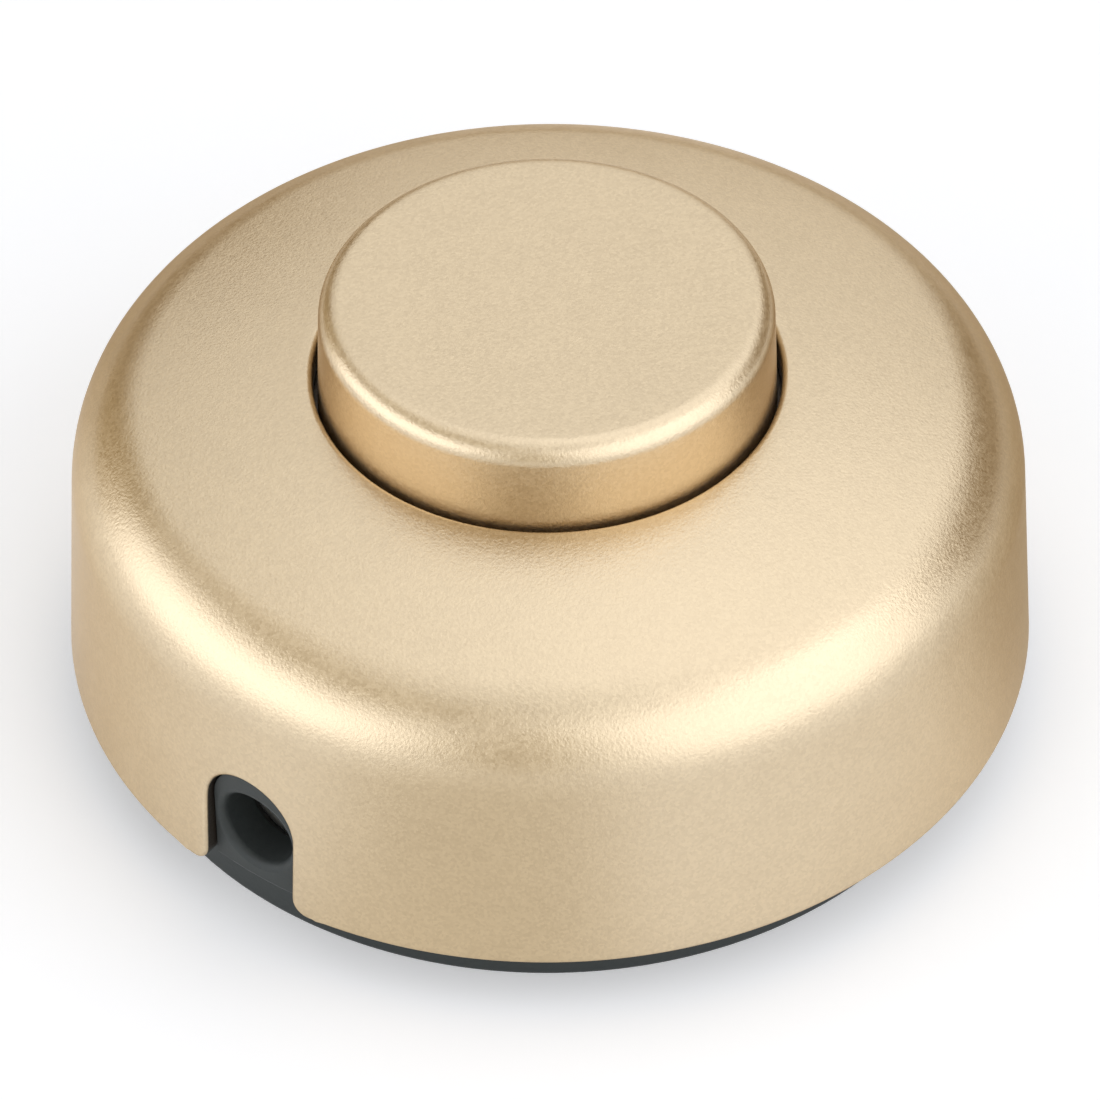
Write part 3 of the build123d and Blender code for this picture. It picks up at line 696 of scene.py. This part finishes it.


# Return spring: a round wire with a flat turn at each end
def make_spring():
    """Compression spring between the rotor housing and the plunger."""
    low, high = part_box("return_spring")
    radius = high.x - SPRING_WIRE / 2
    rise = high.z - low.z - SPRING_WIRE
    bm = bmesh.new()
    place = Matrix.Translation((radius, 0, low.z + SPRING_WIRE / 2)) @ Matrix.Rotation(math.pi / 2, 4, "X")
    wire = bmesh.ops.create_circle(bm, segments=WIRE_SIDES, radius=SPRING_WIRE / 2, matrix=place)["verts"]
    end = wire + bm.edges[:]
    for turns, climb in ((SPRING_END_TURNS, 0), (SPRING_TURNS, rise), (SPRING_END_TURNS, 0)):
        steps = round(turns * COIL_STEPS)
        lift = (0, 0, climb / steps)
        angle = 2 * math.pi * turns
        coil = bmesh.ops.spin(bm, geom=end, axis=(0, 0, 1), angle=angle, steps=steps, dvec=lift)
        end = coil["geom_last"]
    bmesh.ops.holes_fill(bm, edges=[edge for edge in bm.edges if edge.is_boundary])
    spring = add_piece("return_coil", bm, spring_steel, "housing", "return_spring")
    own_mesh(spring)


# Detent leaf: a strip along a flat of the rotor, which gives way to the rotor's corners
def make_leaf():
    """Leaf spring that holds the rotor in its eight places."""
    low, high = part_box("detent_spring")
    bm = bmesh.new()
    place = Matrix.Translation((low + high) / 2) @ Matrix.Diagonal(high - low).to_4x4()
    bmesh.ops.create_cube(bm, size=1, matrix=place)
    along = [edge for edge in bm.edges if abs(edge.verts[0].co.y - edge.verts[1].co.y) > NEAR]
    round_edges(bm, along, LEAF_CORNER)
    leaf = add_piece("detent_leaf", bm, spring_steel, "housing", "detent_spring")
    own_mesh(leaf)


# Screws: slotted pan heads on threaded shanks
def add_head(bm, radius):
    """Slotted pan head that stands on z = 0."""
    height = radius * HEAD_SHARE
    place = Matrix.Translation((0, 0, height / 2))
    bmesh.ops.create_cone(
        bm, cap_ends=True, segments=SCREW_SIDES, radius1=radius, radius2=radius, depth=height, matrix=place
    )
    round_edges(bm, [edge for edge in bm.edges if middle(edge).z > height - NEAR], height / 2)
    for y in (-SLOT_WIDTH / 2, SLOT_WIDTH / 2):
        whole = bm.verts[:] + bm.edges[:] + bm.faces[:]
        bmesh.ops.bisect_plane(bm, geom=whole, dist=NEAR, plane_co=(0, y, 0), plane_no=(0, 1, 0))
    band = []
    for face in bm.faces:
        centre = face.calc_center_median()
        if abs(centre.y) < SLOT_WIDTH / 2 and centre.z > height / 2 + NEAR:
            band.append(face)
    sunk = bmesh.ops.extrude_face_region(bm, geom=band)
    for vertex in vertices(sunk["geom"]):
        vertex.co.z = height / 2
    bmesh.ops.remove_doubles(bm, verts=bm.verts, dist=NEAR)


def add_shank(bm, radius, length):
    """Threaded shank below z = 0 with a chamfered tip, inside the radius of the plain one."""
    pitch = radius * THREAD_PITCH_SHARE
    rows = round(length / pitch * THREAD_ROWS)
    ring = bmesh.ops.create_circle(bm, segments=SCREW_SIDES, radius=radius)["verts"]
    edges = list({edge for vertex in ring for edge in vertex.link_edges})
    for row in range(1, rows + 1):
        grown = bmesh.ops.extrude_edge_only(bm, edges=edges)["geom"]
        edges = [item for item in grown if isinstance(item, bmesh.types.BMEdge)]
        z = -length * row / rows
        tip = max(0, TIP_LENGTH - length - z)
        for vertex in vertices(grown):
            turn = math.atan2(vertex.co.y, vertex.co.x)
            thread = abs(2 * ((z / pitch + turn / (2 * math.pi)) % 1) - 1)
            reach = radius * (1 - THREAD_DEPTH_SHARE * thread) - tip
            vertex.co = (reach * math.cos(turn), reach * math.sin(turn), z)
    edges = [edge for edge in edges if edge.is_boundary]
    bmesh.ops.holes_fill(bm, edges=edges)


def make_screws(node, head, shank, length, places, upward=False):
    """Group of like screws, each with its head seated at its place."""
    bm = bmesh.new()
    turn = Matrix.Rotation(math.pi if upward else 0, 4, "X")
    for place in places:
        screw = bmesh.new()
        add_head(screw, head)
        add_shank(screw, shank, length)
        bmesh.ops.transform(screw, matrix=Matrix.Translation(place) @ turn, verts=screw.verts)
        loose = bpy.data.meshes.new("screw")
        screw.to_mesh(loose)
        screw.free()
        bm.from_mesh(loose)
        bpy.data.meshes.remove(loose)
    even_normals(add_piece(node + "_slotted", bm, zinc, "housing", node))


def corners(x, y, z):
    """Four places that mirror each other in X and Y."""
    return [(side * x, way * y, z) for side in (-1, 1) for way in (-1, 1)]


def make_all_screws():
    """Screws of the cover, the cord clamps, the rotor housing and the terminals."""
    low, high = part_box("cover_screws")
    seat = low.z + COVER_HEAD * HEAD_SHARE
    places = [(0, side * COVER_BOSS_Y, seat) for side in (-1, 1)]
    make_screws("cover_screws", COVER_HEAD, COVER_SHANK, high.z - seat, places, upward=True)

    low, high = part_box("clamp_screws")
    seat = high.z - CLAMP_HEAD * HEAD_SHARE
    places = corners(high.x - CLAMP_HEAD, high.y - CLAMP_HEAD, seat)
    make_screws("clamp_screws", CLAMP_HEAD, CLAMP_SHANK, seat - low.z, places)

    low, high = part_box("housing_screws")
    seat = high.z - HOUSING_HEAD * HEAD_SHARE
    places = [(side * (high.x - HOUSING_HEAD), high.y - HOUSING_HEAD, seat) for side in (-1, 1)]
    make_screws("housing_screws", HOUSING_HEAD, HOUSING_SHANK, seat - low.z, places)

    low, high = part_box("terminal_screws")
    line_seat = high.z - TERMINAL_HEAD * HEAD_SHARE
    connector_seat = low.z + TERMINAL_LENGTH
    places = []
    for side in (-1, 1):
        places.append((side * (high.x - TERMINAL_HEAD), low.y + TERMINAL_HEAD, line_seat))
        places.append((side * CONNECTOR_SCREW_X, high.y - TERMINAL_HEAD, connector_seat))
    make_screws("terminal_screws", TERMINAL_HEAD, TERMINAL_SHANK, TERMINAL_LENGTH, places)


make_cover()
make_button()
make_spring()
make_leaf()
make_all_screws()

# Floor, backdrop and light
WHITE = (1, 1, 1, 1)
BLACK = (0, 0, 0, 1)
FLOOR_COLOUR = (0.92, 0.92, 0.92, 1)
FLOOR_ROUGHNESS = 0.9
FLOOR_SPECULAR = 0.1
FLOOR_SIZE = 6.0
FLOOR_LIFT = 0.28  # glow that brings the floor up to white
AMBIENT = 0.5  # light of the world on what lies in it
LAMP_DISTANCE = 0.7
DAYLIGHT = (0.95, 0.98, 1.06)
CARD_DISTANCE = 0.5
CARD_STEPS = 24
CARD_FOOT = 0.0003  # height of the lowest cards over the floor
LYING_CARD_INNER = 0.0315
LYING_CARD_OUTER = 0.3
DARK_CARD = (0.26, 0.17, 0.06, 1)
BROWN_CARD = (0.38, 0.27, 0.1, 1)
SHADE_CARD = (0.48, 0.41, 0.3, 1)
GREY_CARD = (0.57, 0.49, 0.35, 1)
PALE_CARD = (0.74, 0.7, 0.63, 1)


def seen_strength(tree, hidden, seen):
    """Strength that the camera and reflections see, and another for the light that falls on things."""
    path = tree.nodes.new("ShaderNodeLightPath")
    mirrored = add_node(tree, "ShaderNodeMath", operation="MAXIMUM")
    shown = add_node(tree, "ShaderNodeMath", operation="MAXIMUM")
    strength = tree.nodes.new("ShaderNodeMapRange")
    strength.inputs["To Min"].default_value = hidden
    strength.inputs["To Max"].default_value = seen
    tree.links.new(path.outputs["Is Glossy Ray"], mirrored.inputs[0])
    tree.links.new(path.outputs["Is Transmission Ray"], mirrored.inputs[1])
    tree.links.new(path.outputs["Is Camera Ray"], shown.inputs[0])
    tree.links.new(mirrored.outputs[0], shown.inputs[1])
    tree.links.new(shown.outputs[0], strength.inputs["Value"])
    return strength.outputs["Result"]


def studio_world():
    """White to the camera and in reflections, and a plain soft light on everything else."""
    world = bpy.data.worlds.new("studio")
    world.use_nodes = True
    tree = world.node_tree
    back = tree.nodes["Background"]
    back.inputs["Color"].default_value = WHITE
    tree.links.new(seen_strength(tree, AMBIENT, 1), back.inputs["Strength"])
    bpy.context.scene.world = world


def studio_floor():
    """Wide pale floor under the object, lifted to white where the object throws no shadow."""
    bm = bmesh.new()
    bmesh.ops.create_grid(bm, x_segments=1, y_segments=1, size=FLOOR_SIZE / 2)
    mesh = bpy.data.meshes.new("floor")
    bm.to_mesh(mesh)
    bm.free()
    floor = bpy.data.objects.new("floor", mesh)
    bpy.context.scene.collection.objects.link(floor)
    material, tree, shader = new_material("pale_floor")
    shader.inputs["Base Color"].default_value = FLOOR_COLOUR
    shader.inputs["Roughness"].default_value = FLOOR_ROUGHNESS
    shader.inputs["Specular IOR Level"].default_value = FLOOR_SPECULAR
    shader.inputs["Emission Color"].default_value = WHITE
    tree.links.new(seen_strength(tree, 0, FLOOR_LIFT), shader.inputs["Emission Strength"])
    mesh.materials.append(material)


# Camera, fitted to the outlines in the photograph
VIEW_AZIMUTH = math.radians(-52.14)
VIEW_ELEVATION = math.radians(43.51)
VIEW_ROLL = math.radians(-0.608)
VIEW_DISTANCE = 0.41097
VIEW_HEIGHT = 0.00933
VIEW_OFFSET = 0.00005
PHOTO_SIDE = 1100
FOCAL_PIXELS = 6400
CLIP_START = 0.01


def direction(azimuth, elevation):
    """Way from the object to a point round it, azimuth 0 lying along -Y."""
    flat = math.cos(elevation)
    return Vector((math.sin(azimuth) * flat, -math.cos(azimuth) * flat, math.sin(elevation)))


def photo_camera():
    """Camera where the photograph was taken from."""
    data = bpy.data.cameras.new("photo_camera")
    camera = bpy.data.objects.new("photo_camera", data)
    bpy.context.scene.collection.objects.link(camera)
    bpy.context.scene.camera = camera
    data.lens = data.sensor_width * FOCAL_PIXELS / PHOTO_SIDE
    data.clip_start = CLIP_START
    back = direction(VIEW_AZIMUTH, VIEW_ELEVATION)
    right = Vector((math.cos(VIEW_AZIMUTH), math.sin(VIEW_AZIMUTH), 0))
    up = back.cross(right)
    target = right * VIEW_OFFSET + Vector((0, 0, VIEW_HEIGHT))
    turn = Matrix((right, up, back)).transposed() @ Matrix.Rotation(VIEW_ROLL, 3, "Z")
    camera.matrix_world = Matrix.Translation(target + back * VIEW_DISTANCE) @ turn.to_4x4()


def softbox(name, azimuth, elevation, width, height, level):
    """Soft light that looks at the object, its azimuth counted from the camera. A level of 1 is white."""
    data = bpy.data.lights.new(name, "AREA")
    data.shape = "RECTANGLE"
    data.size = width
    data.size_y = height
    data.energy = level * math.pi * width * height
    data.color = DAYLIGHT
    lamp = bpy.data.objects.new(name, data)
    bpy.context.scene.collection.objects.link(lamp)
    way = direction(VIEW_AZIMUTH + math.radians(azimuth), math.radians(elevation))
    lamp.location = way * LAMP_DISTANCE
    lamp.rotation_mode = "QUATERNION"
    lamp.rotation_quaternion = way.to_track_quat("Z", "Y")


def add_card(name, bm, colour):
    """Card of a plain tone that shows only in the object's reflections."""
    mesh = bpy.data.meshes.new(name)
    bm.to_mesh(mesh)
    bm.free()
    card = bpy.data.objects.new(name, mesh)
    bpy.context.scene.collection.objects.link(card)
    card.visible_camera = False
    card.visible_diffuse = False
    card.visible_shadow = False
    material, tree, shader = new_material(name)
    shader.inputs["Base Color"].default_value = BLACK
    shader.inputs["Emission Color"].default_value = colour
    shader.inputs["Emission Strength"].default_value = 1
    mesh.materials.append(material)
    return tree, shader


def fade(tree, value, start, end):
    """Smooth step of a value from 0 to 1."""
    step = add_node(tree, "ShaderNodeMapRange", interpolation_type="SMOOTHSTEP")
    step.inputs["From Min"].default_value = start
    step.inputs["From Max"].default_value = end
    tree.links.new(value, step.inputs["Value"])
    return step.outputs["Result"]


def card_arc(bm, azimuth, turn, radius):
    """Edges of an arc on the floor round the object, placed by its azimuth from the camera."""
    way = VIEW_AZIMUTH + math.radians(azimuth - turn / 2)
    start = bm.verts.new(direction(way, 0) * radius)
    bmesh.ops.spin(bm, geom=[start], axis=(0, 0, 1), angle=math.radians(turn), steps=CARD_STEPS)
    bmesh.ops.translate(bm, verts=bm.verts, vec=(0, 0, CARD_FOOT))
    return bm.edges[:]


def standing_card(name, colour, azimuth, turn, low, high):
    """Upright card between two elevations."""
    bm = bmesh.new()
    arc = card_arc(bm, azimuth, turn, CARD_DISTANCE)
    bmesh.ops.translate(bm, verts=bm.verts, vec=(0, 0, CARD_DISTANCE * math.tan(math.radians(low))))
    rise = CARD_DISTANCE * (math.tan(math.radians(high)) - math.tan(math.radians(low)))
    wall = bmesh.ops.extrude_edge_only(bm, edges=arc)
    bmesh.ops.translate(bm, verts=vertices(wall["geom"]), vec=(0, 0, rise))
    add_card(name, bm, colour)


def floor_shade_card(name, colour, azimuth, turn):
    """Card on the floor beside the object, a painted floor shadow that shows only in the object's
    reflections, which fades out towards its ends and its far side.
    """
    bm = bmesh.new()
    arc = card_arc(bm, azimuth, turn, LYING_CARD_INNER)
    reach = LYING_CARD_OUTER / LYING_CARD_INNER
    sheet = bmesh.ops.extrude_edge_only(bm, edges=arc)
    bmesh.ops.scale(bm, verts=vertices(sheet["geom"]), vec=(reach, reach, 1))
    tree, shader = add_card(name, bm, colour)
    place = tree.nodes.new("ShaderNodeTexCoord")
    distance = add_node(tree, "ShaderNodeVectorMath", operation="LENGTH")
    unit = add_node(tree, "ShaderNodeVectorMath", operation="NORMALIZE")
    towards = add_node(tree, "ShaderNodeVectorMath", operation="DOT_PRODUCT")
    towards.inputs[1].default_value = direction(VIEW_AZIMUTH + math.radians(azimuth), 0)
    tree.links.new(place.outputs["Object"], distance.inputs[0])
    tree.links.new(place.outputs["Object"], unit.inputs[0])
    tree.links.new(unit.outputs["Vector"], towards.inputs[0])
    across = fade(tree, towards.outputs["Value"], math.cos(math.radians(turn / 2)), 1)
    outwards = fade(tree, distance.outputs["Value"], LYING_CARD_OUTER, LYING_CARD_INNER)
    opacity = add_node(tree, "ShaderNodeMath", operation="MULTIPLY")
    tree.links.new(across, opacity.inputs[0])
    tree.links.new(outwards, opacity.inputs[1])
    tree.links.new(opacity.outputs[0], shader.inputs["Alpha"])


studio_world()
studio_floor()
photo_camera()
standing_card("back_card", DARK_CARD, azimuth=180, turn=60, low=0, high=9)
standing_card("back_left_card", DARK_CARD, azimuth=-153, turn=28, low=0, high=24)
standing_card("left_card", BROWN_CARD, azimuth=-128, turn=24, low=0, high=42)
standing_card("upper_left_card", GREY_CARD, azimuth=-72, turn=116, low=46, high=66)
standing_card("front_card", GREY_CARD, azimuth=-8, turn=22, low=0, high=44)
standing_card("right_card", DARK_CARD, azimuth=125, turn=50, low=0, high=31)
# Painted shadow of the floor round the object, seen only in its reflections
floor_shade_card("right_painted_floor_shade", SHADE_CARD, azimuth=124, turn=124)
floor_shade_card("left_painted_floor_shade", SHADE_CARD, azimuth=-152, turn=80)
floor_shade_card("front_painted_floor_shade", PALE_CARD, azimuth=-12, turn=60)
softbox("left_softbox", azimuth=-73, elevation=19, width=1.12, height=0.48, level=1.1)
softbox("right_softbox", azimuth=53, elevation=28, width=0.98, height=0.8, level=0.9)
softbox("top_softbox", azimuth=110, elevation=62, width=0.8, height=0.6, level=0.4)
softbox("top_left_softbox", azimuth=-150, elevation=72, width=0.6, height=0.5, level=0.2)

bpy.context.scene.view_settings.view_transform = "Standard"
